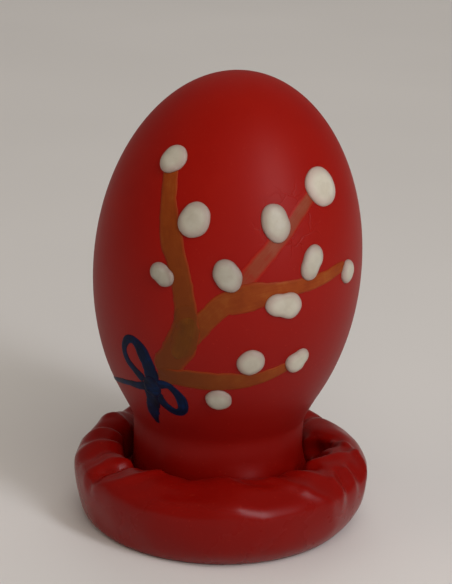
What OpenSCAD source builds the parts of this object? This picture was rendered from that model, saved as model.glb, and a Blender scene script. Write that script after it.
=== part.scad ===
// Painted goose egg in a red rubber skin, standing in a soft rolled collar.
// Millimetres, +Z up, front towards -Y, origin under the middle of the collar.

/* [Egg] */
// Greatest diameter of the dressed egg, rubber included
egg_d = 57.6; // [57:0.1:58]
// Length of the dressed egg along its own axis
egg_len = 84.8; // [84:0.2:85.6]
// Height of the egg's middle above the table
egg_z = 57; // [57:0.5:60]
// Distance of the egg's middle to the right of the neck's axis
egg_x = 0.7; // [0.4:0.1:0.8]
// How far the egg's top leans to the right, in degrees
lean = 3.6; // [2.5:0.1:4]
// Thickness of the blown shell
shell_t = 0.55; // [0.5:0.05:0.9]
// Diameter of the hole at the bottom that the egg was blown through
blow_hole_d = 3; // [2:0.5:3.5]

/* [Skin] */
// Thickness of the stretched rubber
skin_t = 0.4; // [0.3:0.05:0.5]
// Height where the rubber leaves the egg
leave_z = 31.4; // [31:0.1:32]
// Radius of the rubber where it leaves the egg
leave_r = 22.5; // [22.3:0.1:22.6]

/* [Neck and collar] */
// Outer radius of the neck
neck_r = 18.7; // [18.6:0.05:18.8]
// Height of the top of the neck
neck_z = 23.5; // [23:0.5:24]
// Radius of the collar's crest
crest_r = 26.9; // [26.5:0.1:27.5]
// Radius of the collar's roll in section
roll_r = 5.7; // [5.2:0.1:6]
// Height of the middle of the roll
roll_z = 11.1; // [10.5:0.1:11.5]
// Outer radius of the flat that the collar rests on
foot_r = 29; // [27.5:0.5:30]
// Height of the bottom of the groove round the neck
groove_z = 8; // [7.5:0.5:9]
// Height where the groove's fillet meets the neck
fillet_z = 11; // [10:0.5:12]

/* [Support tube] */
// Outer radius of the card tube that holds the egg up
tube_r = 18.1; // [18:0.05:18.15]
// Wall of the card tube
tube_wall = 1.9; // [1.7:0.1:1.9]
// Height of the rim that the egg sits on
tube_h = 21.7; // [20:0.1:21.8]

/* [Paint] */
// Height of a catkin's dab above the skin
dab_t = 1.1; // [0.8:0.1:1.4]
// Thickness of the brown and blue brush strokes
stroke_t = 0.3; // [0.2:0.05:0.4]
// Thickness of the thin, faded stroke
wash_t = 0.12; // [0.1:0.01:0.15]
// Height of the bow's knot above the skin
knot_t = 0.45; // [0.4:0.05:0.6]

/* [Hidden] */
// Room left between the shell and the rubber, and between the rubber and its paint
skin_gap = 0.05;
paint_gap = 0.04;
// Room left between the neck and the collar
collar_gap = 0.05;
eps = 0.01;
// How far a cut runs past the face that it opens
cut = 1;
egg_r = egg_d / 2;
egg_half = egg_len / 2;
foot_z = 0.4;
surface_step = 0.05;
stroke_side_u = [-1, -0.5, 0, 0.5, 1];
// Rings in each span of a stroke, and the share of its width that the first rings have
span_rings = 4;
end_shares = [0.45, 0.8, 1];
// How much lower a stroke's edge is than its middle
crown_fall = 0.8;
// Facets of a dab, and of the egg that its underside is cut to
dab_fine = 128;
egg_fine = 360;
turned_fine = 96;
// Steps of the collar's outline: fillet, roll and sagging side
fillet_steps = 6;
roll_steps = 22;
sag_steps = 11;
// The fillet's turn, and the angle that the roll stops short of the groove's bottom
fillet_turn = 70;
roll_short = 8;

// Catkin dabs: azimuth, height, half width, half length, turn in the surface
catkin_list = [
    [-30.6, 84.6, 3.4, 3.2, 40],
    [-13.6, 74.1, 3.5, 3.9, -20],
    [-26, 62.4, 3.1, 2.6, -35],
    [1.5, 63.6, 3, 3.8, 25],
    [21.8, 74, 3.1, 4.4, 8],
    [48.3, 79.7, 3.7, 4.5, 30],
    [37.8, 65.2, 2.5, 4.1, -25],
    [59.8, 61.2, 2.3, 2.7, 0],
    [25.3, 57, 4.4, 2.9, 2],
    [12.9, 44.8, 3.2, 3.1, 0],
    [34.4, 44.2, 2.5, 3.2, -40],
    [-0.3, 35.7, 3, 2.8, 0]
];
catkin_names = [
    for (i = [1 : len(catkin_list)]) str("catkin_", i < 10 ? "0" : "", i)
];

// Brush strokes: azimuth, height and width at points along each
left_twig_path = [
    [-31, 83.5, 3.4], [-27.5, 76.5, 3.8], [-23.5, 69.7, 5],
    [-19.5, 65, 4.5], [-16, 59, 4.6], [-15, 53, 4.6]
];
trunk_path = [
    [-14.5, 54, 5.6], [-15.7, 50, 6.6], [-20.4, 45.4, 6.3], [-27.5, 40.5, 5.2]
];
right_twig_path = [
    [-12, 50.5, 4.2], [-1.5, 56.8, 4.6], [3.5, 58.2, 5.6], [13, 59.4, 5.8],
    [23.5, 60.4, 3.6], [40.5, 61.2, 3], [56, 63, 2.4]
];
faded_twig_path = [
    [6.5, 61, 3.4], [18, 68, 3.6], [36.5, 76.5, 2.8], [43.5, 78.4, 2.3]
];
lower_twig_path = [
    [-29.5, 40, 3.4], [-17, 40.3, 4.3], [-0.5, 40.2, 4.5],
    [16, 40.8, 3.2], [30.5, 43, 2.3]
];
fork_patch_path = [
    [-14.5, 52.5, 4.4], [-15.5, 49.5, 4.8], [-17.5, 47, 4.2]
];
upper_loop_path = [
    [-33.5, 39.4, 2.2], [-34, 42.6, 2.5], [-37, 45.5, 2.3], [-41.3, 46.8, 1.8],
    [-45, 46.3, 1.6], [-48.2, 43.9, 1.5], [-47.6, 41.3, 1.6], [-44, 39.8, 1.7],
    [-39.5, 38.6, 1.8]
];
lower_loop_path = [
    [-28.5, 38.2, 1.7], [-24.5, 38.5, 1.7], [-21, 37, 1.8],
    [-18.7, 34.9, 2], [-18.5, 32.3, 2], [-22.6, 31, 1.8],
    [-27.8, 31.7, 1.8], [-31.1, 32.8, 1.8], [-31.9, 34.2, 1.8]
];
side_tail_path = [
    [-40, 35.8, 1.8], [-45, 35.5, 1.6], [-53, 35, 1.4], [-62, 34.1, 1.2],
    [-76, 32.4, 0.9]
];
low_tail_path = [
    [-36.5, 33.6, 1.9], [-38.6, 31.1, 2.3], [-39.6, 28.7, 2],
    [-39.2, 26.5, 1.1]
];
// The knot is a dab like a catkin, but thin
knot_dab = [-34, 36.6, 2.4, 2.5, 20];

red = [0.48, 0.06, 0.04];
deep_red = [0.42, 0.04, 0.04];
brown = [0.46, 0.25, 0.07];
dark_brown = [0.3, 0.15, 0.03];
faded_brown = [0.5, 0.22, 0.16];
cream = [0.8, 0.77, 0.71];
blue = [0.05, 0.12, 0.27];
card = [0.62, 0.5, 0.36];

// ---- Surface of the skin ----

// Radius of the leaning egg at azimuth a (from the front, to the right) and height z
function egg_radius(a, z) =
    let (
        s = sin(a),
        c = cos(a),
        x0 = -egg_x * cos(lean) - (z - egg_z) * sin(lean),
        w0 = -egg_x * sin(lean) + (z - egg_z) * cos(lean),
        rr = egg_r * egg_r,
        hh = egg_half * egg_half,
        qa = (pow(s * cos(lean), 2) + c * c) / rr + pow(s * sin(lean), 2) / hh,
        qb = 2 * (s * cos(lean) * x0 / rr + s * sin(lean) * w0 / hh),
        qc = x0 * x0 / rr + w0 * w0 / hh - 1
    )
    (-qb + sqrt(max(0, qb * qb - 4 * qa * qc))) / (2 * qa);

// Radius of the cone between the egg and the neck, and of the neck below it
function cone_radius(z) =
    z > leave_z ? 0
    : z < neck_z ? neck_r
    : neck_r + (z - neck_z) * (leave_r - neck_r) / (leave_z - neck_z);

function skin_radius(a, z) = max(egg_radius(a, z), cone_radius(z));

function on_skin(a, z) =
    let (r = skin_radius(a, z))
    [r * sin(a), -r * cos(a), z];

function unit(v) = v / norm(v);

// Directions on the skin: along the level, up the side, and straight out
function level_dir(a) = [cos(a), sin(a), 0];
function up_dir(a, z) = unit(on_skin(a, z + surface_step) - on_skin(a, z));
function out_dir(a, z) =
    unit(cross(
        on_skin(a + surface_step, z) - on_skin(a - surface_step, z),
        on_skin(a, z + surface_step) - on_skin(a, z - surface_step)
    ));

function above_skin(a, z, h) = on_skin(a, z) + h * out_dir(a, z);

// ---- Brush strokes ----

// A smooth curve through four points, at t from 0 to 1 between the middle two
function curve_at(a, b, c, d, t) =
    0.5 * (2 * b + (c - a) * t + (2 * a - 5 * b + 4 * c - d) * t * t
        + (3 * b - a - 3 * c + d) * t * t * t);

function smooth_path(p, n) =
    let (last = len(p) - 1)
    concat(
        [
            for (i = [0 : last - 1], j = [0 : n - 1])
                curve_at(p[max(0, i - 1)], p[i], p[i + 1], p[min(last, i + 2)], j / n)
        ],
        [p[last]]
    );

// Share of the full width near a stroke's rounded ends
function end_share(i, last) = end_shares[min(i, last - i, len(end_shares) - 1)];

// Height across a stroke, as a share of its thickness
function crown(u) = sqrt(1 - crown_fall * u * u);

// One cross-section: the underside from left to right, then the top back again
function stroke_ring(p, i, lift, t) =
    let (
        last = len(p) - 1,
        step = p[min(last, i + 1)] - p[max(0, i - 1)],
        at = p[i],
        deg_mm = skin_radius(at[0], at[1]) * PI / 180,
        rise = norm(on_skin(at[0], at[1] + surface_step) - on_skin(at[0], at[1])) / surface_step,
        run = unit([step[0] * deg_mm, step[1] * rise]),
        half = at[2] / 2 * end_share(i, last),
        spots = [
            for (u = stroke_side_u)
                [at[0] + u * half * run[1] / deg_mm, at[1] - u * half * run[0] / rise, u]
        ],
        n = len(spots)
    )
    concat(
        [for (s = spots) above_skin(s[0], s[1], lift)],
        [
            for (k = [n - 1 : -1 : 0])
                above_skin(spots[k][0], spots[k][1], lift + t * crown(spots[k][2]))
        ]
    );

// A raised ribbon of paint that follows the skin along a path
module stroke(path, t = stroke_t, lift = paint_gap) {
    p = smooth_path(path, span_rings);
    rings = [for (i = [0 : len(p) - 1]) stroke_ring(p, i, lift, t)];
    m = len(rings[0]);
    last = len(rings) - 1;
    points = [for (ring = rings, q = ring) q];
    sides = [
        for (i = [0 : last - 1], k = [0 : m - 1], half = [0, 1])
            let (a = i * m + k, b = i * m + (k + 1) % m)
            half == 0 ? [a, b, a + m] : [b, b + m, a + m]
    ];
    half_m = m / 2;
    first_cap = [
        for (k = [0 : half_m - 2], side = [0, 1])
            side == 0 ? [k, m - 1 - k, k + 1] : [k + 1, m - 1 - k, m - 2 - k]
    ];
    last_cap = [for (f = first_cap) [f[0] + last * m, f[2] + last * m, f[1] + last * m]];
    polyhedron(points, concat(sides, first_cap, last_cap));
}

// ---- Shared shapes ----

// Places its children on the leaning egg's own axis
module on_egg() {
    translate([egg_x, 0, egg_z])
        rotate([0, lean, 0])
            children();
}

// The egg's outline, moved out or in by grow
module egg_solid(grow, fine = turned_fine) {
    on_egg()
        scale([egg_r + grow, egg_r + grow, egg_half + grow])
            sphere(r = 1, $fn = fine);
}

// A rounded dab of paint: azimuth, height, half width, half length and turn
module dab(d, t) {
    e = level_dir(d[0]);
    u = up_dir(d[0], d[1]);
    o = out_dir(d[0], d[1]);
    p = on_skin(d[0], d[1]);
    difference() {
        multmatrix([
            [e[0], u[0], o[0], p[0]],
            [e[1], u[1], o[1], p[1]],
            [e[2], u[2], o[2], p[2]],
            [0, 0, 0, 1]
        ])
            rotate([0, 0, d[4]])
                scale([d[2], d[3], t])
                    sphere(r = 1, $fn = dab_fine);
        egg_solid(paint_gap, egg_fine);
    }
}

// Points on an oval arc in the section plane, from angle a0 to a1
function arc(cx, cz, rx, rz, a0, a1, n) =
    [for (i = [0 : n]) let (a = a0 + (a1 - a0) * i / n) [cx + rx * cos(a), cz + rz * sin(a)]];

// ---- Sub-parts ----

module egg_shell() {
    color(cream)
        difference() {
            egg_solid(-skin_t - skin_gap);
            egg_solid(-skin_t - skin_gap - shell_t);
            on_egg()
                translate([0, 0, -egg_half])
                    cylinder(d = blow_hole_d, h = 2 * (skin_t + skin_gap + shell_t), $fn = turned_fine);
        }
}

// The cone and neck as a solid, moved in by a wall
module neck_solid(wall, bottom_z) {
    slope_wall = wall / cos(atan((leave_r - neck_r) / (leave_z - neck_z)));
    rotate_extrude($fn = turned_fine)
        polygon([
            [0, bottom_z],
            [neck_r - wall, bottom_z],
            [neck_r - wall, neck_z],
            [leave_r - slope_wall, leave_z],
            [0, leave_z]
        ]);
}

module rubber_skin() {
    color(red)
        difference() {
            union() {
                egg_solid(0);
                neck_solid(0, foot_z);
            }
            egg_solid(-skin_t);
            neck_solid(skin_t, foot_z - cut);
        }
}

module rolled_collar() {
    bore_r = neck_r + collar_gap;
    fillet_r = fillet_z - groove_z;
    // The roll rises from the groove, and its outer side sags to the foot
    groove_a = 180 - roll_short + asin((roll_z - groove_z) / roll_r);
    foot_a = -acos((foot_r - crest_r) / roll_r);
    sag_r = -roll_z / sin(foot_a);
    color(deep_red)
        rotate_extrude($fn = turned_fine)
            polygon(concat(
                [[bore_r, 0]],
                arc(bore_r + fillet_r, fillet_z, fillet_r, fillet_r, 180, 180 + fillet_turn, fillet_steps),
                arc(crest_r, roll_z, roll_r, roll_r, groove_a, 0, roll_steps),
                arc(crest_r, roll_z, roll_r, sag_r, foot_a / (sag_steps + 1), foot_a, sag_steps)
            ));
}

module support_tube() {
    color(card)
        difference() {
            cylinder(r = tube_r, h = tube_h, $fn = turned_fine);
            translate([0, 0, -cut])
                cylinder(r = tube_r - tube_wall, h = tube_h + 2 * cut, $fn = turned_fine);
        }
}

module trunk() {
    color(brown)
        stroke(trunk_path);
}

module left_twig() {
    color(brown)
        stroke(left_twig_path);
}

module right_twig() {
    color(brown)
        stroke(right_twig_path);
}

module faded_twig() {
    color(faded_brown)
        stroke(faded_twig_path, wash_t);
}

module lower_twig() {
    color(brown)
        stroke(lower_twig_path);
}

// A darker second coat over the fork, on top of the trunk
module fork_patch() {
    color(dark_brown)
        stroke(fork_patch_path, wash_t, paint_gap + stroke_t + eps);
}

module bow_knot() {
    color(blue)
        dab(knot_dab, knot_t);
}

module bow_upper_loop() {
    color(blue)
        stroke(upper_loop_path);
}

module bow_lower_loop() {
    color(blue)
        stroke(lower_loop_path);
}

module bow_side_tail() {
    color(blue)
        stroke(side_tail_path);
}

module bow_low_tail() {
    color(blue)
        stroke(low_tail_path);
}

module catkin(i) {
    color(cream)
        dab(catkin_list[i], dab_t);
}

egg_shell();
rubber_skin();
rolled_collar();
support_tube();
trunk();
left_twig();
right_twig();
faded_twig();
lower_twig();
fork_patch();
bow_knot();
bow_upper_loop();
bow_lower_loop();
bow_side_tail();
bow_low_tail();
for (i = [0 : len(catkin_list) - 1])
    catkin(i);
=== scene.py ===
import math

import bmesh
import bpy
from mathutils import Matrix, Quaternion, Vector, noise
from mathutils.bvhtree import BVHTree


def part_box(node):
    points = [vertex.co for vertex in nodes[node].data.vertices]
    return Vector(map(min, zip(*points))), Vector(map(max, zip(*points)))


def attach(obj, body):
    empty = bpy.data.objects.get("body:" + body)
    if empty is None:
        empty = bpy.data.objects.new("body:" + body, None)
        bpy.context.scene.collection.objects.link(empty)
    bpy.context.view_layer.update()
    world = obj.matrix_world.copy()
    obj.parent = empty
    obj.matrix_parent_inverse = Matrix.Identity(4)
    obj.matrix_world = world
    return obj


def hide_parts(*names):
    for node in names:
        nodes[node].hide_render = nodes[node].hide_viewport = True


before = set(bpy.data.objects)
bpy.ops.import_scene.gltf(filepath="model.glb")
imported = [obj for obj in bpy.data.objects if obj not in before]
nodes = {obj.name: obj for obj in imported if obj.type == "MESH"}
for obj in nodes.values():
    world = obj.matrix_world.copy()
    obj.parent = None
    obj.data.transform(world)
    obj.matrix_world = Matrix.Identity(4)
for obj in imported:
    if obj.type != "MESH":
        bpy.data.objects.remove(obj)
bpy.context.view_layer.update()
mm = 0.001
dressedEgg = "dressed_egg"


# Camera

camera = {
    "distance": 0.4,
    "lens": 114,
    "sensor": 36,
    "elevation": 18,
    "roll": 1.9,
    "aim": (0.0006, 0, 0.051),
}


def makeCamera(c):
    data = bpy.data.cameras.new("camera")
    data.lens = c["lens"]
    data.sensor_width = c["sensor"]
    data.clip_start = 0.01
    eye = bpy.data.objects.new("camera", data)
    up = math.radians(c["elevation"])
    back = Vector((0, -math.cos(up), math.sin(up)))
    eye.location = Vector(c["aim"]) + back * c["distance"]
    eye.rotation_mode = "QUATERNION"
    turn = Quaternion((0, 0, 1), math.radians(c["roll"]))
    eye.rotation_quaternion = (-back).to_track_quat("-Z", "Y") @ turn
    bpy.context.scene.collection.objects.link(eye)
    bpy.context.scene.camera = eye


makeCamera(camera)
print("camera placed")


# Small helpers

def clamp(x, low=0.0, high=1.0):
    return max(low, min(high, x))


def smoothStep(a, b, x):
    t = clamp((x - a) / (b - a))
    return t * t * (3 - 2 * t)


def bump(x, width):
    return math.exp(-(x / width) ** 2)


def wrapAngle(a):
    return (a + 180) % 360 - 180


def wobble(x, y=0.0, z=0.0):
    return noise.noise(Vector((x, y, z)))


# A smooth curve through points of any size, steps to a span
def curveThrough(points, steps):
    last = len(points) - 1
    made = []
    for i in range(last):
        four = [points[max(0, i - 1)], points[i], points[i + 1], points[min(last, i + 2)]]
        for j in range(steps):
            t = j / steps
            made.append([
                0.5 * (2 * b + (c - a) * t + (2 * a - 5 * b + 4 * c - d) * t * t
                       + (3 * b - a - 3 * c + d) * t ** 3)
                for a, b, c, d in zip(*four)
            ])
    made.append(list(points[-1]))
    return made


def newPiece(name, bm, body, material, replaced=()):
    # a recalculation can turn a small flat piece inside out
    if bm.calc_volume(signed=True) < 0:
        bmesh.ops.reverse_faces(bm, faces=bm.faces[:])
    for f in bm.faces:
        f.smooth = True
    mesh = bpy.data.meshes.new(name)
    bm.to_mesh(mesh)
    bm.free()
    piece = bpy.data.objects.new(name, mesh)
    bpy.context.scene.collection.objects.link(piece)
    mesh.materials.append(material)
    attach(piece, body)
    if replaced:
        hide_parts(*replaced)
    return piece


# Materials

class Nodes:
    def __init__(self, name):
        self.material = bpy.data.materials.new(name)
        self.material.use_nodes = True
        self.tree = self.material.node_tree
        self.shader = self.tree.nodes["Principled BSDF"]
        self.coords = self.add("ShaderNodeTexCoord").outputs["Object"]

    def add(self, kind, **values):
        node = self.tree.nodes.new(kind)
        for key, value in values.items():
            setattr(node, key, value)
        return node

    def join(self, start, end):
        self.tree.links.new(start, end)

    def noise(self, scale, detail=2.0, rough=0.5, stretch=(1, 1, 1)):
        mapping = self.add("ShaderNodeMapping")
        mapping.inputs["Scale"].default_value = stretch
        self.join(self.coords, mapping.inputs["Vector"])
        node = self.add("ShaderNodeTexNoise")
        node.inputs["Scale"].default_value = scale
        node.inputs["Detail"].default_value = detail
        node.inputs["Roughness"].default_value = rough
        self.join(mapping.outputs["Vector"], node.inputs["Vector"])
        return node.outputs["Fac"]

    def ramp(self, source, stops, kind="EASE"):
        node = self.add("ShaderNodeValToRGB")
        node.color_ramp.interpolation = kind
        while len(node.color_ramp.elements) < len(stops):
            node.color_ramp.elements.new(0.5)
        for element, (place, color) in zip(node.color_ramp.elements, stops):
            element.position = place
            element.color = (*color, 1)
        self.join(source, node.inputs["Fac"])
        return node.outputs["Color"]

    def span(self, source, low, high):
        node = self.add("ShaderNodeMapRange")
        node.inputs["To Min"].default_value = low
        node.inputs["To Max"].default_value = high
        self.join(source, node.inputs["Value"])
        return node.outputs["Result"]

    # 0 to 1 as the source goes from start to end, eased at both
    def ease(self, source, start, end):
        node = self.add("ShaderNodeMapRange", interpolation_type="SMOOTHSTEP")
        node.inputs["From Min"].default_value = start
        node.inputs["From Max"].default_value = end
        self.join(source, node.inputs["Value"])
        return node.outputs["Result"]

    def mix(self, factor, first, second, blend="MIX"):
        node = self.add("ShaderNodeMix", data_type="RGBA", blend_type=blend)
        for socket, value in ((node.inputs[0], factor), (node.inputs[6], first), (node.inputs[7], second)):
            if isinstance(value, (int, float)):
                socket.default_value = value
            elif isinstance(value, tuple):
                socket.default_value = (*value, 1)
            else:
                self.join(value, socket)
        return node.outputs[2]

    def calc(self, a, b, kind="MULTIPLY"):
        node = self.add("ShaderNodeMath", operation=kind)
        for socket, value in zip(node.inputs, (a, b)):
            if isinstance(value, (int, float)):
                socket.default_value = value
            else:
                self.join(value, socket)
        return node.outputs["Value"]

    def attribute(self, name):
        return self.add("ShaderNodeAttribute", attribute_name=name).outputs["Fac"]

    def bump(self, source, distance, strength=1.0, under=None):
        node = self.add("ShaderNodeBump")
        node.inputs["Strength"].default_value = strength
        node.inputs["Distance"].default_value = distance
        self.join(source, node.inputs["Height"])
        if under:
            self.join(under, node.inputs["Normal"])
        return node.outputs["Normal"]

    def color(self, source):
        self.join(source, self.shader.inputs["Base Color"])

    def roughness(self, source):
        self.join(source, self.shader.inputs["Roughness"])

    def normal(self, source):
        self.join(source, self.shader.inputs["Normal"])

    def set(self, values):
        for socket, value in values.items():
            self.shader.inputs[socket].default_value = value


rubberLook = {
    "deep": (0.25, 0.002, 0.0005),
    "main": (0.272, 0.0038, 0.0007),
    "worn": (0.295, 0.0065, 0.0013),
    # slack: the darker colour low down, partly slacker rubber, partly painted shade
    "slack": (0.195, 0.0024, 0.0009),
    "roughTight": 0.46,
    "roughSlack": 0.27,
    "specular": 0.155,
    "slackAndShadeHeights": (0.016, 0.085),    # darker slack colour below, tight colour above; reaching up to the egg's top it is also painted shade, darker towards the bottom
    "satinHeights": (0.013, 0.023),    # glossy below, satin above
    "creases": (0.0135, -0.0235, 0.0735),
}


def makeRubber(look):
    n = Nodes("redRubber")
    cloud = n.noise(38, 3, 0.55)
    tone = n.ramp(cloud, [(0.25, look["deep"]), (0.5, look["main"]), (0.78, look["worn"])])
    # tight and satin over the egg, slack and glossier below the neck; the colour darkens towards the bottom
    # all the way up the egg, partly slacker rubber, partly painted shade
    place = n.add("ShaderNodeSeparateXYZ")
    n.join(n.coords, place.inputs["Vector"])
    tone = n.mix(n.ease(place.outputs["Z"], *look["slackAndShadeHeights"]), look["slack"], tone)
    # dust and pinholes caught in the rubber
    speck = n.ramp(n.noise(1500, 1, 0.5), [(0.7, (0, 0, 0)), (0.76, (1, 1, 1))])
    n.color(n.mix(n.calc(speck, 0.25), tone, (0.36, 0.035, 0.02)))
    satin = n.ease(place.outputs["Z"], *look["satinHeights"])
    dull = n.span(satin, look["roughSlack"], look["roughTight"])
    n.roughness(n.calc(n.span(n.noise(60, 4, 0.6), -0.05, 0.05), dull, "ADD"))
    skinGrain = n.bump(n.noise(900, 3, 0.6), 0.00004, 0.35)
    stretchMarks = n.bump(n.noise(120, 3, 0.55, (1, 1, 0.35)), 0.0001, 0.25, skinGrain)
    # a patch of fine creases on the right of the front
    bent = n.add("ShaderNodeVectorMath", operation="MULTIPLY_ADD")
    n.join(n.coords, bent.inputs[0])
    bent.inputs[1].default_value = (1, 1, 1)
    waver = n.add("ShaderNodeTexNoise")
    waver.inputs["Scale"].default_value = 300
    n.join(n.coords, waver.inputs["Vector"])
    shrink = n.add("ShaderNodeVectorMath", operation="SCALE")
    n.join(waver.outputs["Color"], shrink.inputs[0])
    shrink.inputs["Scale"].default_value = 0.0035
    n.join(shrink.outputs["Vector"], bent.inputs[2])
    cells = n.add("ShaderNodeTexVoronoi", feature="DISTANCE_TO_EDGE")
    cells.inputs["Scale"].default_value = 210
    n.join(bent.outputs["Vector"], cells.inputs["Vector"])
    lines = n.ramp(cells.outputs["Distance"], [(0.0, (1, 1, 1)), (0.05, (0, 0, 0))])
    reach = n.add("ShaderNodeVectorMath", operation="DISTANCE")
    n.join(n.coords, reach.inputs[0])
    reach.inputs[1].default_value = look["creases"]
    inside = n.ease(reach.outputs["Value"], 0.011, 0.002)
    creased = n.calc(lines, n.calc(inside, n.noise(160, 2, 0.5)))
    n.normal(n.bump(n.calc(creased, -1.0), 0.00025, 0.5, stretchMarks))
    n.set({
        "Specular IOR Level": look["specular"], "Subsurface Weight": 0.15,
        "Subsurface Scale": 0.002, "Subsurface Radius": (1.0, 0.12, 0.06),
    })
    return n.material


catkinLook = {
    "thick": (0.56, 0.52, 0.425),
    "middle": (0.485, 0.44, 0.35),
    # rim colour: thin paint over red, with painted shade and painted red bounce light
    "thin": (0.37, 0.25, 0.22),
    "speck": (0.46, 0.38, 0.27),
}


def makeCatkinPaint(look):
    n = Nodes("catkinPaint")
    tone = n.ramp(n.noise(240, 3, 0.6), [(0.3, look["middle"]), (0.65, look["thick"])])
    # the rim is darker and redder: partly thin paint tinted by the red below, partly painted shade and
    # painted red bounce light
    rim = n.ramp(n.attribute("rim"), [(0.45, (0, 0, 0)), (1.0, (1, 1, 1))])
    tinted = n.mix(n.calc(rim, 0.75), tone, look["thin"])
    speck = n.ramp(n.noise(1700, 1, 0.5), [(0.69, (0, 0, 0)), (0.75, (1, 1, 1))])
    flecked = n.mix(n.calc(speck, 0.3), tinted, look["speck"])
    # painted shade and light: each drop's colour is scaled by how much light falls on it where it sits
    n.color(n.mix(1.0, flecked, n.attribute("paintedShading"), "MULTIPLY"))
    n.roughness(n.span(n.noise(300, 3, 0.6), 0.36, 0.52))
    n.normal(n.bump(n.noise(420, 4, 0.6), 0.00012, 0.5))
    n.set({
        "Specular IOR Level": 0.4, "Subsurface Weight": 0.12,
        "Subsurface Scale": 0.0008, "Subsurface Radius": (1.0, 0.8, 0.6),
    })
    return n.material


brownLook = {
    "light": (0.27, 0.062, 0.009),
    "main": (0.245, 0.04, 0.004),
    "dark": (0.215, 0.03, 0.003),
    "deep": (0.115, 0.024, 0.0025),
    "edge": (0.25, 0.022, 0.003),
    "edgeShare": 0.6,
}
patchLook = {
    "light": (0.13, 0.036, 0.003),
    "main": (0.11, 0.03, 0.002),
    "dark": (0.095, 0.025, 0.002),
    "deep": (0.1, 0.027, 0.002),
    "edge": (0.125, 0.025, 0.0025),
    "edgeShare": 1.0,
    "rimStart": 0.35,
}
fadedLook = {
    "light": (0.235, 0.05, 0.024),
    "main": (0.225, 0.036, 0.015),
    "dark": (0.24, 0.02, 0.008),
    "deep": (0.22, 0.03, 0.012),
    "edge": (0.3, 0.006, 0.002),
    "edgeShare": 1.0,
    "rimStart": 0.5,
}
blueLook = {
    "light": (0.002, 0.013, 0.056),
    "main": (0.0015, 0.006, 0.026),
    "dark": (0.0015, 0.003, 0.012),
    "deep": (0.004, 0.006, 0.022),
    "edge": (0.012, 0.004, 0.012),
    "edgeShare": 0.5,
    "specular": 0.07,
}


# Brush paint: long streaks along the stroke, thinner and redder at its edges
def makeBrushPaint(name, look, rough=(0.42, 0.58)):
    n = Nodes(name)
    along = n.calc(n.attribute("along"), 160)
    across = n.calc(n.attribute("across"), 2600)
    joined = n.add("ShaderNodeCombineXYZ")
    n.join(along, joined.inputs["X"])
    n.join(across, joined.inputs["Y"])
    streak = n.add("ShaderNodeTexNoise")
    streak.inputs["Scale"].default_value = 1.0
    streak.inputs["Detail"].default_value = 3.0
    n.join(joined.outputs["Vector"], streak.inputs["Vector"])
    patch = n.noise(330, 3, 0.6)
    both = n.calc(n.calc(streak.outputs["Fac"], 0.35), n.calc(patch, 0.65), "ADD")
    tone = n.ramp(both, [(0.36, look["dark"]), (0.5, look["main"]), (0.64, look["light"])])
    # the shade attribute darkens a stroke towards its deep colour along its length: partly darker paint at
    # the fork, partly painted shade, darker towards the lower left
    tone = n.mix(n.attribute("shade"), tone, n.mix(patch, look["deep"], tone))
    tone = n.mix(n.calc(n.attribute("shade"), 0.85), tone, look["deep"])
    rim = n.ramp(n.attribute("rim"), [(look.get("rimStart", 0.72), (0, 0, 0)), (1.0, (1, 1, 1))])
    n.color(n.mix(n.calc(rim, look["edgeShare"]), tone, look["edge"]))
    n.roughness(n.span(patch, *rough))
    ridges = n.bump(streak.outputs["Fac"], 0.00005, 0.3)
    n.normal(n.bump(n.noise(700, 3, 0.6), 0.00005, 0.4, ridges))
    n.set({"Specular IOR Level": look.get("specular", 0.13)})
    return n.material


def makeCard():
    n = Nodes("cardTube")
    fibre = n.noise(2600, 3, 0.6, (1, 1, 0.45))
    blotch = n.noise(160, 3, 0.55)
    tone = n.ramp(n.calc(n.calc(fibre, 0.4), n.calc(blotch, 0.6), "ADD"), [
        (0.35, (0.27, 0.18, 0.1)), (0.65, (0.36, 0.25, 0.145))])
    # the seam between the wound strips climbs round the tube
    place = n.add("ShaderNodeSeparateXYZ")
    n.join(n.coords, place.inputs["Vector"])
    turn = n.calc(n.calc(place.outputs["Y"], place.outputs["X"], "ARCTAN2"), 0.0046)
    climb = n.calc(n.calc(place.outputs["Z"], turn, "ADD"), 0.0289, "DIVIDE")
    share = n.calc(climb, 1.0, "FRACT")
    seam = n.ramp(share, [(0.0, (1, 1, 1)), (0.012, (0, 0, 0)), (0.985, (0, 0, 0)), (1.0, (1, 1, 1))])
    n.color(n.mix(n.calc(seam, 0.45), tone, (0.15, 0.095, 0.05)))
    n.roughness(n.span(fibre, 0.78, 0.92))
    low = n.bump(n.calc(seam, -1.0), 0.0001, 0.6)
    n.normal(n.bump(fibre, 0.00006, 0.5, low))
    n.set({"Specular IOR Level": 0.25})
    return n.material


def makeShell():
    n = Nodes("bareShell")
    tone = n.ramp(n.noise(90, 4, 0.6), [(0.3, (0.66, 0.62, 0.54)), (0.7, (0.78, 0.75, 0.68))])
    pore = n.ramp(n.noise(2200, 2, 0.5), [(0.3, (1, 1, 1)), (0.38, (0, 0, 0))])
    n.color(n.mix(n.calc(pore, 0.25), tone, (0.45, 0.4, 0.33)))
    n.roughness(n.span(n.noise(200, 3, 0.5), 0.5, 0.65))
    n.normal(n.bump(pore, 0.00003, 0.5))
    return n.material


redRubber = makeRubber(rubberLook)
catkinPaint = makeCatkinPaint(catkinLook)
brownPaint = makeBrushPaint("brownPaint", brownLook)
patchPaint = makeBrushPaint("patchPaint", patchLook, (0.35, 0.5))
fadedPaint = makeBrushPaint("fadedPaint", fadedLook, (0.36, 0.46))
bluePaint = makeBrushPaint("bluePaint", blueLook, (0.36, 0.5))
cardTube = makeCard()
bareShell = makeShell()
print("materials made")


# Rubber skin and collar, one continuous piece

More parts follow.
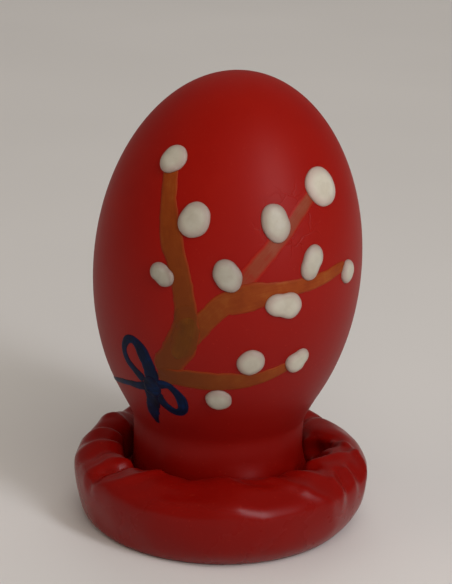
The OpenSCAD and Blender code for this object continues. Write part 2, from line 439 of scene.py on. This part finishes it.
skinLow, skinHigh = (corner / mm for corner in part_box("rubber_skin"))
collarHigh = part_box("rolled_collar")[1] / mm
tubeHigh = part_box("support_tube")[1] / mm

egg = {
    "radius": (skinHigh.y - skinLow.y) / 2,
    "half": 42.4,
    "side": (skinHigh.x + skinLow.x) / 2,
    "lean": 3.6,
    "wall": 0.4,
    "leaveAngle": 37.1,    # how far below its middle the rubber leaves the egg
    "rows": 54,
}
egg["height"] = skinHigh.z - math.hypot(
    egg["half"] * math.cos(math.radians(egg["lean"])),
    egg["radius"] * math.sin(math.radians(egg["lean"])),
)

neck = {
    "inside": tubeHigh.x + 0.17,
    "innerTop": 23.5,
    "shift": -0.1,
    "ahead": 1.0,    # how far its foot flares to the front right
    # radius and height down the outside, to the groove
    "radius": 18.6,
    "outline": [
        (19.1, 24.1), (18.72, 22.4), (18.6, 20.4), (18.6, 17.5), (18.75, 14.8),
        (19.15, 12.6), (19.8, 10.6), (20.5, 9.4), (21.1, 9.1),
    ],
}

collar = {
    "radius": collarHigh.x - 5.7,    # of the crest
    "roll": 5.7,
    "height": collarHigh.z - 5.7,
    "foot": 28.6,
    "steps": 336,    # round the axis
    "rows": 62,      # from the groove to the foot
    "rightward": 1.0,
    "start": 196,          # angle round the roll where it leaves the groove
    "foldScale": 6.5,      # millimetres to a radian round the roll
    "swell": 0.65,
    "small": 0.18,
    "lipIn": 0.7,
    "grooveFront": 0.9,    # the groove's rise in front, and its further fall at the sides
    "grooveSides": 2.2,
    # each fold: azimuth and angle round the roll at both ends, height, width; ridges up, creases down
    "folds": [
        (-34, 112, -56, 5, 1.0, 1.5), (-53, 140, -61, 5, -2.1, 1.0),
        (-60, 128, -66, 0, 0.55, 1.0), (-71, 160, -75, 20, -0.9, 1.6),
        (-79, 135, -84, 20, 0.6, 1.5), (-87, 165, -90, 35, -1.1, 1.5),
        (-95, 140, -98, 30, 0.7, 1.4), (-103, 170, -104, 40, -1.3, 1.7),
        (-111, 140, -117, 20, 1.0, 1.5), (-128, 175, -127, 30, -1.4, 2.0),
        (-139, 150, -144, 10, 0.9, 1.6), (-153, 175, -151, 25, -1.5, 1.9),
        (-163, 150, -166, 0, 0.9, 1.5), (179, 175, -179, 30, -1.6, 2.1),
        (169, 150, 166, 15, 0.9, 1.4), (157, 170, 160, 40, -1.1, 1.7),
        (147, 150, 143, 5, 0.9, 1.6), (134, 175, 129, 30, -1.3, 1.8),
        (116, 160, 99, 114, 1.1, 1.2), (99, 114, 84, 62, 1.4, 1.2), (84, 62, 73, -5, 1.1, 1.5),
        (59, 132, 84, 64, 1.3, 1.2), (106, 155, 89, 88, -2.6, 3.0), (82, 150, 78, 118, -1.6, 2.4),
        (37, 128, 53, 62, 0.8, 1.3), (52, 150, 56, 95, -1.2, 1.5), (54, 62, 53, -5, 0.6, 1.0),
        (60, 70, 58, 0, -0.8, 1.1), (65, 62, 64, 0, 0.6, 1.0), (70, 60, 69, 5, -0.7, 1.1),
        (25, 108, 38, 58, 0.75, 2.3), (38, 58, 50, -25, 0.8, 2.3),
        (4, 112, 3, -30, 1.2, 6.0), (8, 114, 13, 98, -0.6, 1.4),
        (13, 98, 32, 86, -0.35, 1.1), (-40, 112, -50, 60, 0.5, 2.4),
        (-24, 60, -38, -5, -0.35, 2.6), (-30, 100, -22, -30, 0.5, 5.0),
        (30, 135, 36, 112, -0.5, 0.7), (-16, 130, -20, 100, -0.35, 1.8),
    ],
}


def rubberOutline():
    rows = []    # radius, height, angle round the roll or None, share of the outside

    def eggRow(angle, inset):
        t = math.radians(angle)
        rows.append((
            max(0.0, (egg["radius"] - inset) * math.cos(t)),
            egg["height"] + (egg["half"] - inset) * math.sin(t), None, 1 if inset == 0 else 0,
        ))

    for k in range(egg["rows"] + 1):
        eggRow(90 - (90 + egg["leaveAngle"]) * k / egg["rows"], 0)
    leave = rows[-1][:2]
    top = neck["outline"][0]
    for k in range(1, 8):
        rows.append((*[a + (b - a) * k / 8 for a, b in zip(leave, top)], None, 1))
    for r, z in curveThrough(neck["outline"], 5):
        rows.append((r, z, None, 1))
    start = collar["start"]
    footAngle = -math.degrees(math.acos((collar["foot"] - collar["radius"]) / collar["roll"]))
    sag = -collar["height"] / math.sin(math.radians(footAngle))
    for k in range(collar["rows"] + 1):
        beta = start + (footAngle - start) * k / collar["rows"]
        b = math.radians(beta)
        tall = collar["roll"] if beta > 0 else sag
        rows.append((
            collar["radius"] + collar["roll"] * math.cos(b),
            collar["height"] + tall * math.sin(b), beta, 1,
        ))
    inside = neck["inside"]
    for k in range(1, 9):
        rows.append((collar["foot"] + (inside - collar["foot"]) * k / 8, 0.0, None, 2))
    for k in range(1, 9):
        rows.append((inside, neck["innerTop"] * k / 8, None, 0))
    wall = egg["wall"]
    for k in range(25):
        angle = -egg["leaveAngle"] + (90 + egg["leaveAngle"]) * k / 24
        eggRow(angle, wall)
    return rows


# Turns a point of the upright egg into its leaning place; the neck below stays upright
def leanOver(p):
    share = smoothStep(21, 35, p.z)
    centre = Vector((0, 0, egg["height"]))
    turned = Matrix.Rotation(math.radians(egg["lean"]), 3, "Y") @ (p - centre)
    turned += centre + Vector((egg["side"], 0, 0))
    return p.lerp(turned, share)


# Height of the folds at a place on the roll
def foldHeight(azimuth, beta):
    total = 0.0
    arc = math.radians(collar["radius"])
    around = 360 * arc
    scale = collar["foldScale"]
    y = math.radians(beta) * scale
    for a0, b0, a1, b1, height, width in collar["folds"]:
        x0 = a0 * arc
        dx1 = wrapAngle(a1 - a0) * arc
        y0 = math.radians(b0) * scale
        dy1 = math.radians(b1) * scale - y0
        px = (azimuth * arc - x0 + around / 2) % around - around / 2
        if abs(px) > abs(dx1) + width * 6:
            continue
        t = clamp((px * dx1 + (y - y0) * dy1) / (dx1 * dx1 + dy1 * dy1))
        bend = 0.8 * wobble(a0 * 0.37, y * 0.25)
        d = math.hypot(px - t * dx1 - bend, y - y0 - t * dy1) / width
        fade = 1 - 0.7 * smoothStep(0.5, 1.0, t)
        # ridges are narrow with wide skirts, creases and broad swells are round
        sharp = height > 0 and width < 4
        profile = 1 / (1 + 1.6 * d * d) ** 1.5 if sharp else math.exp(-d * d)
        total += height * fade * profile
    return total


def sculptCollar(p, azimuth, beta):
    a = math.radians(azimuth)
    out = Vector((math.sin(a), -math.cos(a), 0))
    b = math.radians(beta)
    normal = out * math.cos(b) + Vector((0, 0, math.sin(b)))
    if beta < 0:
        normal = out * math.cos(b * 0.5) + Vector((0, 0, math.sin(b * 0.5)))
    free = smoothStep(200, 160, beta)
    grounded = smoothStep(-68, -30, beta)
    swell = collar["swell"] * wobble(math.sin(a) * 1.7, math.cos(a) * 1.7, beta * 0.006)
    small = collar["small"] * wobble(azimuth * 0.09, beta * 0.022, 4.0)
    # a sharper lip and a flatter slope in front of it
    slope = 0.6 * bump((beta - 128) / 22, 1) - 1.1 * bump((beta - 58) / 34, 1)
    slope *= 0.35 + 0.65 * bump(wrapAngle(azimuth) / 70, 1)
    move = (swell + foldHeight(azimuth, beta) + slope) * free + small
    p = p + normal * move * grounded
    # the whole ring sits a little to the right, and its front lip leans in and up
    front = bump(wrapAngle(azimuth) / 62, 1)
    upper = smoothStep(20, 100, beta) * smoothStep(196, 140, beta)
    p = p + Vector((collar["rightward"], 0, 0)) * smoothStep(190, 90, beta) * grounded
    p = p - out * collar["lipIn"] * front * upper
    p.z -= 1.0 * bump((wrapAngle(azimuth) + 42) / 17, 1) * upper
    # the groove is deeper at both sides than in front
    side = abs(math.sin(a)) ** 2
    p.z += (collar["grooveFront"] - collar["grooveSides"] * side) * smoothStep(140, 180, beta)
    p.z = max(p.z, 0.0)
    return p


def smoothOut(bm, verts, times):
    for _ in range(times):
        bmesh.ops.smooth_vert(
            bm, verts=verts, factor=0.5, use_axis_x=True, use_axis_y=True, use_axis_z=True)


def sculptRubber(bm, angleLayer, sideLayer):
    for v in bm.verts:
        p = v.co.copy()
        beta = v[angleLayer]
        kind = v[sideLayer]
        azimuth = math.degrees(math.atan2(p.x, -p.y))
        a = math.radians(azimuth)
        if beta > -900:
            p = sculptCollar(p, azimuth, beta)
        elif kind == 1:
            if p.z < 26:
                # slack in the neck, and the groove that follows the collar
                low = smoothStep(13, 8.6, p.z)
                side = abs(math.sin(a)) ** 2
                p.z += (collar["grooveFront"] - collar["grooveSides"] * side) * low
                slack = smoothStep(26, 20, p.z)
                # the flare at its foot is wider on the right
                r = math.hypot(p.x, p.y)
                ahead = neck["ahead"] * bump((azimuth - 20) / 24, 1) * smoothStep(18.8, 13, p.z)
                ahead *= smoothStep(9, 12.5, p.z)
                p.x *= 1 + ahead / r
                p.y *= 1 + ahead / r
                flare = max(0.0, r - neck["radius"]) * (0.15 - 0.55 * math.sin(a)) * smoothStep(20, 15, p.z)
                p.x *= 1 - flare * smoothStep(9, 11, p.z) / r
                p.y *= 1 - flare * smoothStep(9, 11, p.z) / r
                # only outwards, so that it stays clear of the inner wall
                loose = 0.5 + wobble(math.sin(a) * 1.4, math.cos(a) * 1.4, p.z * 0.11)
                r = 1 + 0.0075 * slack * max(0.0, loose)
                p.x = p.x * r + neck["shift"] * slack * (1 - low)
                p.y *= r
            p = leanOver(p)
        elif kind == 2:
            # the underside is gathered into shallow pleats
            r = math.hypot(p.x, p.y)
            pleat = max(0.0, wobble(azimuth * 0.12, 3.0)) * 0.5
            p.z += pleat * bump((r - 23.5) / 3.2, 1)
        else:
            p = leanOver(p)
        v.co = p
    bend = [v for v in bm.verts if v[sideLayer] == 1 and 20 < v.co.z < 29]
    smoothOut(bm, bend, 14)
    soft = [v for v in bm.verts if v[angleLayer] > -40]
    smoothOut(bm, soft, 2)


def makeRubberPiece():
    bm = bmesh.new()
    angleLayer = bm.verts.layers.float.new("rollAngle")
    sideLayer = bm.verts.layers.float.new("outside")
    before = None
    for r, z, beta, outside in rubberOutline():
        v = bm.verts.new((0, -r, z))
        v[angleLayer] = -1000 if beta is None else beta
        v[sideLayer] = outside
        if before:
            bm.edges.new((before, v))
        before = v
    bmesh.ops.spin(
        bm, geom=bm.verts[:] + bm.edges[:], cent=(0, 0, 0), axis=(0, 0, 1),
        angle=2 * math.pi, steps=collar["steps"], use_merge=True, use_duplicate=False)
    bmesh.ops.remove_doubles(bm, verts=bm.verts[:], dist=0.0005)
    sculptRubber(bm, angleLayer, sideLayer)
    bmesh.ops.recalc_face_normals(bm, faces=bm.faces[:])
    bmesh.ops.scale(bm, vec=(mm, mm, mm), verts=bm.verts[:])
    return newPiece("rubberSkinAndCollar", bm, dressedEgg, redRubber,
                    ("rubber_skin", "rolled_collar"))


rubberPiece = makeRubberPiece()
skinTree = BVHTree.FromObject(rubberPiece, bpy.context.evaluated_depsgraph_get())
print("rubber made:", len(rubberPiece.data.vertices), "points")


# Placing paint on the skin

far = 0.08


# The skin's point and outward normal at an azimuth in degrees and a height in millimetres
def onSkin(azimuth, height):
    a = math.radians(azimuth)
    out = Vector((math.sin(a), -math.cos(a), 0))
    start = out * far + Vector((0, 0, height * mm))
    place, normal, _, _ = skinTree.ray_cast(start, -out)
    return place, normal


paintTrees = []


# Drops a point along a direction onto the skin or the paint already there
def dropOn(point, normal):
    start = point + normal * 0.006
    place, found, _, near = skinTree.ray_cast(start, -normal)
    if not place:
        return point, normal
    for tree in paintTrees:
        hit, _, _, d = tree.ray_cast(start, -normal)
        if hit and d < near:
            place, near = hit, d
    return place, found


def addPaint(piece):
    bpy.context.view_layer.update()
    paintTrees.append(BVHTree.FromObject(piece, bpy.context.evaluated_depsgraph_get()))


# Brush strokes

strokeShape = {
    "around": 20,
    "sink": 0.12,
    "stepLength": 0.4,
}


def makeStroke(name, s, material):
    path = curveThrough(s["path"], 14)
    places = [onSkin(p[0], p[1]) for p in path]
    total = 0.0
    travelled = [0.0]
    for k in range(1, len(places)):
        total += (places[k][0] - places[k - 1][0]).length / mm
        travelled.append(total)
    rings = max(8, int(total / strokeShape["stepLength"]))

    def atLength(d):
        k = 1
        while k < len(travelled) - 1 and travelled[k] < d:
            k += 1
        share = clamp((d - travelled[k - 1]) / max(1e-6, travelled[k] - travelled[k - 1]))
        return [a + (b - a) * share for a, b in zip(path[k - 1], path[k])]

    bm = bmesh.new()
    rim = bm.verts.layers.float.new("rim")
    along = bm.verts.layers.float.new("along")
    across = bm.verts.layers.float.new("across")
    shade = bm.verts.layers.float.new("shade")
    bmesh.ops.create_cone(
        bm, cap_ends=True, cap_tris=False, segments=strokeShape["around"],
        radius1=1, radius2=1, depth=1)
    long = [e for e in bm.edges if abs(e.verts[0].co.z - e.verts[1].co.z) > 0.5]
    bmesh.ops.subdivide_edges(bm, edges=long, cuts=rings - 1, use_grid_fill=False)
    seed = s.get("seed", 1.0)
    thick = s.get("thick", 0.16)
    ragged = s.get("ragged", 0.07)
    tips = s.get("tips", (1.0, 1.0))
    shades = s.get("shades", (0.0, 0.0))
    melt = s.get("melt", (0.0, 0.0))
    for v in bm.verts:
        t = v.co.z + 0.5
        d = t * total
        a, z, w = atLength(d)
        a2, z2, _ = atLength(min(total, d + 0.4))
        a1, z1, _ = atLength(max(0.0, d - 0.4))
        place, normal = onSkin(a, z)
        forward = onSkin(a2, z2)[0] - onSkin(a1, z1)[0]
        sideways = forward.cross(normal).normalized()
        angle = math.atan2(v.co.y, v.co.x)
        u = math.copysign(abs(math.cos(angle)) ** 0.75, math.cos(angle))
        hand = 1.0 if u > 0 else 7.0
        edge = 1 + ragged * (1.6 * wobble(d * 0.35 + seed, hand) + 0.8 * wobble(d * 1.1, hand, seed))
        startTip = clamp(d / (w * 0.5 * tips[0]), 0.0, 1.0)
        endTip = clamp((total - d) / (w * 0.5 * tips[1]), 0.0, 1.0)
        tip = math.sqrt(max(0.0, 1 - (1 - startTip) ** 2)) * math.sqrt(max(0.0, 1 - (1 - endTip) ** 2))
        half = w * 0.5 * edge * max(tip, 0.03)
        q, qn = dropOn(place + sideways * u * half * mm, normal)
        crown = math.sqrt(max(0.0, 1 - abs(u) ** 6))
        melted = 1.0
        if melt[0]:
            melted *= smoothStep(0, melt[0], d)
        if melt[1]:
            melted *= smoothStep(0, melt[1], total - d)
        uneven = 1 + 0.22 * wobble(d * 0.5, u * 1.5, seed) + 0.1 * wobble(d * 1.7, u * 4, seed)
        if math.sin(angle) > 0:
            h = max(0.012, thick * crown * uneven * smoothStep(0, 0.5, tip) * melted)
        else:
            h = -strokeShape["sink"] * crown
        v.co = q + qn * h * mm
        v[rim] = max(abs(u) * (0.6 + 0.4 * melted), (1 - tip) * melted)
        v[along] = d * mm
        v[across] = u * half * mm
        v[shade] = shades[0] + (shades[1] - shades[0]) * t
    bmesh.ops.remove_doubles(bm, verts=bm.verts[:], dist=0.00001)
    bmesh.ops.recalc_face_normals(bm, faces=bm.faces[:])
    piece = newPiece(name, bm, dressedEgg, material, (s["node"],))
    addPaint(piece)
    return piece


# azimuth, height and width in millimetres down each stroke
# shades: how dark each stroke is at its start and its end, partly darker paint, partly painted shade
brownStrokes = {
    "leftTwig": {
        "node": "left_twig", "seed": 3.0, "shades": (0.0, 0.95), "melt": (0, 3),
        "path": [
            (-31, 83.5, 3.4), (-27.5, 76.5, 3.8), (-23.5, 69.7, 5), (-19.5, 65, 4.5),
            (-16, 59, 4.6), (-15, 54, 5.0), (-15.3, 50.5, 5.6),
        ],
    },
    "rightTwig": {
        "node": "right_twig", "seed": 11.0, "shades": (0.7, -0.5), "melt": (4, 0),
        "path": [
            (-15, 48.6, 4.6), (-11, 51.2, 4.4), (-1.5, 56.8, 4.6), (3.5, 58.2, 5.6), (13, 59.4, 5.8),
            (23.5, 60.4, 3.6), (40.5, 61.2, 3), (58, 63, 2.2),
        ],
    },
    "mainTrunk": {
        "node": "trunk", "seed": 5.0, "shades": (0.95, 1.0), "melt": (5, 0),
        "path": [
            (-15, 57, 4.2), (-14.8, 53.5, 5.2), (-15.6, 50, 6.7), (-20.3, 45.4, 6.6), (-27.5, 40.6, 6.2),
        ],
    },
    "lowerTwig": {
        "node": "lower_twig", "seed": 8.0, "shades": (1.2, 0.1), "melt": (5, 0),
        "path": [
            (-29.5, 40, 3.4), (-17, 40.3, 4.3), (-0.5, 40.2, 4.5), (16, 40.8, 3.2),
            (31, 43.2, 2.3),
        ],
    },
}
forkPatch = {
    "node": "fork_patch", "seed": 2.0, "thick": 0.05, "ragged": 0.2, "tips": (1.2, 1.6), "melt": (3, 3),
    "path": [
        (-13.2, 54.5, 3.6), (-13.8, 52, 5.0), (-15.3, 49.5, 5.6), (-17.6, 46.8, 4.8), (-19.5, 44.8, 3.6),
    ],
}
fadedTwig = {
    "node": "faded_twig", "seed": 9.0, "thick": 0.05, "ragged": 0.1,
    "path": [(5.5, 60.5, 3.8), (18, 68, 3.9), (36.5, 76.5, 3.1), (44, 78.6, 2.6)],
}
blueStrokes = {
    "bowSideTail": {
        "node": "bow_side_tail", "seed": 7.0, "ragged": 0.14, "thick": 0.08,
        "path": [
            (-36, 36.4, 3.2), (-42, 35.8, 2.0), (-52, 35.2, 1.5), (-62, 34.2, 1.3), (-76, 32.5, 0.9),
        ],
    },
    "bowUpperLoop": {
        "node": "bow_upper_loop", "seed": 4.0, "ragged": 0.1, "thick": 0.1,
        "path": [
            (-32.2, 37.6, 3.6), (-33.9, 41.2, 3.5), (-36.9, 44.9, 3.2), (-41.2, 46.7, 2.1),
            (-45.3, 46.2, 1.8), (-48, 43.7, 1.7), (-46.6, 41.2, 1.8), (-42.5, 39.4, 2.0),
            (-38, 37.6, 2.8),
        ],
    },
    "bowLowerLoop": {
        "node": "bow_lower_loop", "seed": 6.0, "ragged": 0.1, "thick": 0.1,
        "path": [
            (-31, 37.4, 2.6), (-25.5, 37.9, 1.8), (-21.4, 36.6, 2.0), (-18.8, 34.4, 2.4),
            (-18.9, 32.1, 2.4), (-22.8, 31.1, 2.0), (-27.8, 32.2, 2.1), (-31.0, 33.8, 2.6),
            (-32.4, 35.6, 3.2),
        ],
    },
    "bowLowTail": {
        "node": "bow_low_tail", "seed": 12.0, "ragged": 0.22, "thick": 0.1,
        "path": [
            (-34.5, 35.8, 3.8), (-36.2, 32.8, 3.3), (-38.4, 30.4, 3.3), (-39.4, 28.4, 2.4),
            (-38.6, 26.4, 1.1),
        ],
    },
}

makeStroke("fadedTwig", fadedTwig, fadedPaint)
for pieceName, stroke in brownStrokes.items():
    makeStroke(pieceName, stroke, brownPaint)
makeStroke("forkPatch", forkPatch, patchPaint)
for pieceName, stroke in blueStrokes.items():
    makeStroke(pieceName, stroke, bluePaint)
print("strokes painted")


# Catkins and the bow's knot

# each dab: azimuth, height, turn, painted shading (a colour scale for how lit it is), then its lobes
# (across, up, half width, half length)
catkinDabs = [
    (-30.6, 84.6, 6, 0.86, [(0.1, 0.3, 3.15, 3.0), (-0.9, -0.9, 2.5, 2.3)]),
    (-13.6, 74.1, -10, 0.79, [(0.1, 0.5, 3.3, 3.6), (-0.4, -0.9, 3.3, 3.1)]),
    (-26, 62.4, 0, 0.63, [(-0.75, 0.65, 2.4, 2.15), (0.75, -0.5, 2.35, 2.05)]),
    (1.5, 63.6, 27, 0.69, [(0, 0.6, 2.8, 3.2), (0.1, -0.6, 2.8, 3.2)]),
    (21.8, 74, 3, 0.83, [(-0.2, 0.9, 3.0, 3.4), (0.4, -1.2, 3.0, 3.3)]),
    (48.3, 79.7, 32, 1.03, [(0, 0.2, 4.1, 4.3), (0.2, -0.6, 3.7, 4.1)]),
    (37.8, 65.2, -20, 0.82, [(0.15, 1.25, 2.6, 2.9), (-0.15, -1.2, 2.35, 2.9)]),
    (59.8, 61.2, -8, 0.9, [(0.2, 0.4, 2.3, 2.3), (-0.1, -0.5, 2.1, 2.2)]),
    (25.3, 57, -8, 0.89, [(1.2, 0.2, 3.1, 3.1), (-1.7, 0.1, 2.9, 2.6)]),
    (12.9, 44.8, -12, 0.79, [(0.2, 0.2, 2.9, 3.0), (-0.5, -0.2, 2.7, 2.7)]),
    (34.4, 44.2, -38, 0.86, [(0.25, 1.25, 2.0, 2.0), (0, -0.7, 2.7, 2.4)]),
    (-0.3, 35.7, -20, 0.68, [(0.1, 0, 2.8, 2.6), (-0.3, 0.1, 2.7, 2.4)]),
]
dabShape = {"height": 1.15, "sink": 0.35, "finesse": 4}


def makeDab(name, azimuth, height, turn, paintedShading, lobes, tall, material, node, seed):
    bm = bmesh.new()
    rim = bm.verts.layers.float.new("rim")
    along = bm.verts.layers.float.new("along")
    across = bm.verts.layers.float.new("across")
    # painted shading: one factor that darkens or lightens the whole drop for how lit it is
    shadingLayer = bm.verts.layers.float.new("paintedShading")
    bmesh.ops.create_icosphere(bm, subdivisions=dabShape["finesse"], radius=1)
    place, normal = onSkin(azimuth, height)
    level = Vector((0, 0, 1)).cross(normal).normalized()
    rise = normal.cross(level)
    c, s = math.cos(math.radians(turn)), math.sin(math.radians(turn))
    for v in bm.verts:
        flat = math.hypot(v.co.x, v.co.y)
        dx, dy = (v.co.x / flat, v.co.y / flat) if flat > 1e-6 else (1, 0)
        # how far the outline reaches in this direction: the lobes' smooth union
        reach = 0.0
        for cx, cy, rx, ry in lobes:
            qa = (dx / rx) ** 2 + (dy / ry) ** 2
            qb = -2 * (dx * cx / rx ** 2 + dy * cy / ry ** 2)
            qc = (cx / rx) ** 2 + (cy / ry) ** 2 - 1
            hit = (-qb + math.sqrt(max(0.0, qb * qb - 4 * qa * qc))) / (2 * qa)
            reach += hit ** 7
        reach = (reach / len(lobes)) ** (1 / 7)
        reach *= 1 + 0.05 * wobble(dx * 1.3 + seed, dy * 1.3)
        spread = clamp(flat) ** 0.85
        x, y = dx * reach * spread, dy * reach * spread
        # a low dimple or bulge on top, as thick paint sets
        top = 1 + 0.1 * wobble(x * 0.45 + seed, y * 0.45, 2.0)
        dip = 0.0
        if len(lobes) > 1:
            first, second = lobes[0], lobes[1]
            apart = (first[0] - second[0], first[1] - second[1])
            size = math.hypot(*apart)
            middle = ((first[0] + second[0]) / 2, (first[1] + second[1]) / 2)
            d = ((x - middle[0]) * apart[0] + (y - middle[1]) * apart[1]) / max(size, 1e-6)
            dip = 0.12 * clamp(size / 3.2) * bump(d / 0.75, 1)
        up = v.co.z
        h = (tall * top * (abs(up) ** 0.8) * (1 - dip)) if up > 0 else -dabShape["sink"] * abs(up)
        u, w = x * c - y * s, x * s + y * c
        q, qn = dropOn(place + (level * u + rise * w) * mm, normal)
        v.co = q + qn * h * mm
        v[rim] = spread if up > 0 else 1.0
        v[shadingLayer] = paintedShading
        v[along] = x * mm
        v[across] = y * mm
    bmesh.ops.recalc_face_normals(bm, faces=bm.faces[:])
    return newPiece(name, bm, dressedEgg, material, (node,))


for k, (azimuth, height, turn, paintedShading, lobes) in enumerate(catkinDabs):
    makeDab(f"catkin{k + 1:02d}", azimuth, height, turn, paintedShading, lobes, dabShape["height"],
            catkinPaint, f"catkin_{k + 1:02d}", 2.7 * k)
makeDab("bowKnot", -34, 36.5, 20, 1.0, [(-0.1, -0.3, 2.3, 2.4), (0.3, 0.8, 2.0, 2.2)], 0.2,
        bluePaint, "bow_knot", 30.0)
print("catkins set")


# Pieces kept from the frame

for node, material in (("support_tube", cardTube), ("egg_shell", bareShell)):
    nodes[node].data.materials.clear()
    nodes[node].data.materials.append(material)


# Floor, world and lights

room = {
    "floor": 3.0,
    "floorTone": (0.74, 0.725, 0.705),
    "floorDrop": 0.00005,    # just under the object's flat foot
    "worldTone": (0.72, 0.68, 0.63),
    "worldStrength": 0.26,
}


def makeFloor():
    bm = bmesh.new()
    bmesh.ops.create_grid(bm, x_segments=8, y_segments=8, size=room["floor"])
    bmesh.ops.translate(bm, vec=(0, 0, -room["floorDrop"]), verts=bm.verts[:])
    mesh = bpy.data.meshes.new("floor")
    bm.to_mesh(mesh)
    bm.free()
    floor = bpy.data.objects.new("floor", mesh)
    bpy.context.scene.collection.objects.link(floor)
    n = Nodes("paleFloor")
    tone = room["floorTone"]
    n.color(n.ramp(n.noise(6, 2, 0.5), [(0.3, tuple(c * 0.97 for c in tone)), (0.7, tone)]))
    n.set({"Roughness": 0.85, "Specular IOR Level": 0.2})
    mesh.materials.append(n.material)


def makeWorld():
    world = bpy.data.worlds.new("studio")
    world.use_nodes = True
    shade = world.node_tree.nodes["Background"]
    shade.inputs["Color"].default_value = (*room["worldTone"], 1)
    shade.inputs["Strength"].default_value = room["worldStrength"]
    bpy.context.scene.world = world


# azimuth to the right and elevation, distance, width, height, power, colour, shows in reflections
lights = {
    "window": (44, 30, 0.6, 0.09, 0.46, 1.6, (0.92, 0.93, 1.0), True),
    "room": (22, 48, 1.6, 1.5, 1.5, 10.2, (1.0, 0.93, 0.84), False),
    "front": (0, 12, 1.2, 0.8, 0.5, 0.9, (1.0, 0.92, 0.83), False),
    "leftFill": (-75, 30, 0.9, 0.7, 0.6, 0.85, (1.0, 0.85, 0.72), False),
    "backGlow": (172, 42, 1.1, 0.9, 0.8, 2.4, (1.0, 0.95, 0.92), False),
}


def makeLights():
    aim = Vector((0, 0, 0.05))
    for name, (azimuth, elevation, distance, width, height, power, color, shiny) in lights.items():
        data = bpy.data.lights.new(name, "AREA")
        data.shape = "RECTANGLE"
        data.size, data.size_y = width, height
        data.energy = power
        data.color = color
        lamp = bpy.data.objects.new(name, data)
        lamp.visible_glossy = shiny
        a, e = math.radians(azimuth), math.radians(elevation)
        back = Vector((math.sin(a) * math.cos(e), -math.cos(a) * math.cos(e), math.sin(e)))
        lamp.location = aim + back * distance
        lamp.rotation_mode = "QUATERNION"
        lamp.rotation_quaternion = (-back).to_track_quat("-Z", "Y")
        bpy.context.scene.collection.objects.link(lamp)


makeFloor()
makeWorld()
makeLights()
bpy.context.scene.view_settings.view_transform = "Standard"
print("studio lit")
